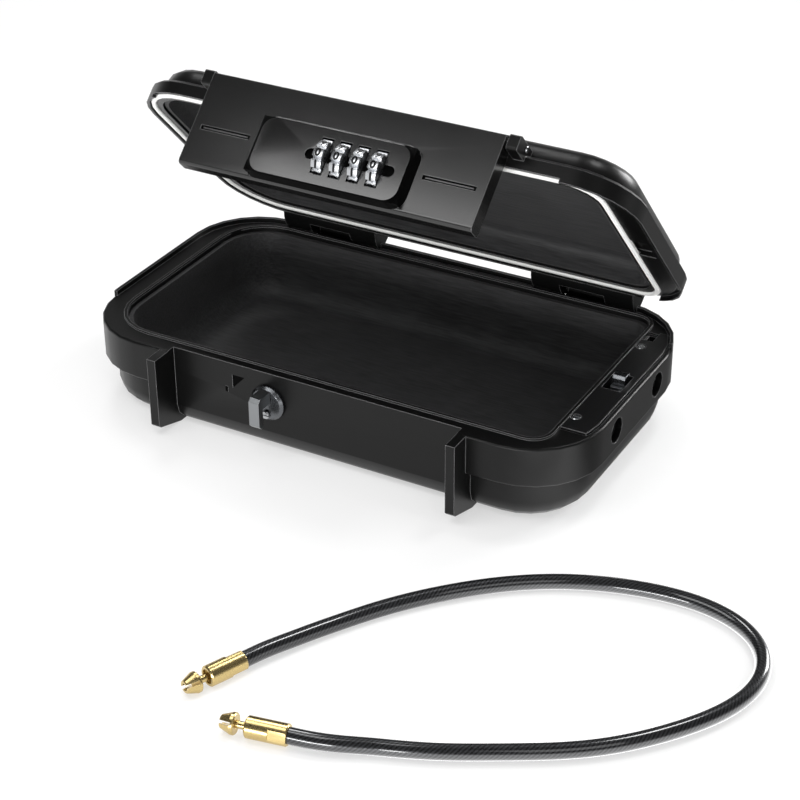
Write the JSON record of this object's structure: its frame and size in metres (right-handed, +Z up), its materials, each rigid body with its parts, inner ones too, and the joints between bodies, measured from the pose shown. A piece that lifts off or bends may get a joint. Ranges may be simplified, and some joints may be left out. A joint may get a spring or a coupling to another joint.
{
  "type": "portable car safe",
  "caption": "Shallow lidded car safe with a stepped lid, a front lock flap with number dials, a sealed tray and a separate steel security cable.",
  "frame": {"origin": "centre of the case's flat underside, on the surface that it rests on", "axes": "+X along the case's length towards the cable sockets, -Y towards the front with the lock flap, +Z up"},
  "size_m": [0.3573, 0.3203, 0.1586],
  "materials": {
    "black_shell": "satin moulded ABS",
    "liner": "soft ribbed lining",
    "gasket": "smooth white seal",
    "chrome": "polished chrome plate",
    "steel": "satin steel",
    "brass": "polished turned brass",
    "cable_vinyl": "clear-coated black vinyl over steel rope"
  },
  "bodies": {
    "case": {"base_shell": "black_shell", "base_liner": "liner", "cable_lock_cover": "black_shell", "cover_screw_front": "steel", "cover_screw_rear": "steel", "socket_bush_front": "steel", "socket_bush_rear": "steel", "cable_lock_detent": "steel", "striker_rosette": "steel", "striker_hook": "steel", "striker_screw": "steel", "hinge_pin_left": "steel", "hinge_pin_right": "steel"},
    "lid": {"lid_shell": "black_shell", "lid_liner": "liner", "lid_gasket": "gasket", "lug_screw_left": "steel", "lug_screw_right": "steel", "flap_hinge_pin": "steel"},
    "flap": {"flap_shell": "black_shell", "latch_spring": "steel", "dial_detent": "steel", "lock_back_cover": "black_shell", "lock_screw_1": "steel", "lock_screw_2": "steel", "lock_screw_3": "steel", "lock_screw_4": "steel"},
    "dial_a": {"dial_1": "chrome"},
    "dial_b": {"dial_2": "chrome"},
    "dial_c": {"dial_3": "chrome"},
    "dial_d": {"dial_4": "chrome"},
    "bolt": {"latch_bolt": "steel"},
    "code_setter": {"code_lever": "black_shell"},
    "cable_slider": {"cable_lock_knob": "chrome", "cable_lock_plate": "steel"},
    "cable_set": {"cable": "cable_vinyl", "cable_end_a": "brass", "cable_end_b": "brass"}
  },
  "joints": [
    {"name": "lid_hinge", "type": "hinge", "parent": "case", "child": "lid", "pos_m": [0, 0.0726, 0.0494], "axis": [1, 0, 0], "range_deg": [-53.3, 46.7]},
    {"name": "flap_hinge", "type": "hinge", "parent": "lid", "child": "flap", "pos_m": [0, -0.02619, 0.1554], "axis": [1, 0, 0], "range_deg": [-95, 0]},
    {"name": "dial_spin_1", "type": "hinge", "parent": "flap", "child": "dial_a", "pos_m": [-0.00125, -0.04816, 0.13978], "axis": [1, 0, 0], "continuous": true},
    {"name": "dial_spin_2", "type": "hinge", "parent": "flap", "child": "dial_b", "pos_m": [0.00745, -0.04816, 0.13978], "axis": [1, 0, 0], "continuous": true},
    {"name": "dial_spin_3", "type": "hinge", "parent": "flap", "child": "dial_c", "pos_m": [0.01615, -0.04816, 0.13978], "axis": [1, 0, 0], "continuous": true},
    {"name": "dial_spin_4", "type": "hinge", "parent": "flap", "child": "dial_d", "pos_m": [0.02485, -0.04816, 0.13978], "axis": [1, 0, 0], "continuous": true},
    {"name": "bolt_slide", "type": "slide", "parent": "flap", "child": "bolt", "axis": [1, 0, 0], "range_m": [0, 0.004], "stiffness_N_per_m": 300, "springref_m": -0.002},
    {"name": "code_slide", "type": "slide", "parent": "flap", "child": "code_setter", "axis": [1, 0, 0], "range_m": [0, 0.003]},
    {"name": "cable_lock_slide", "type": "slide", "parent": "case", "child": "cable_slider", "axis": [0, 1, 0], "range_m": [-0.006, 0]},
    {"name": "cable_lift", "type": "slide", "parent": "case", "child": "cable_set", "axis": [0, 0, 1], "range_m": [0, 0.15]}
  ]
}
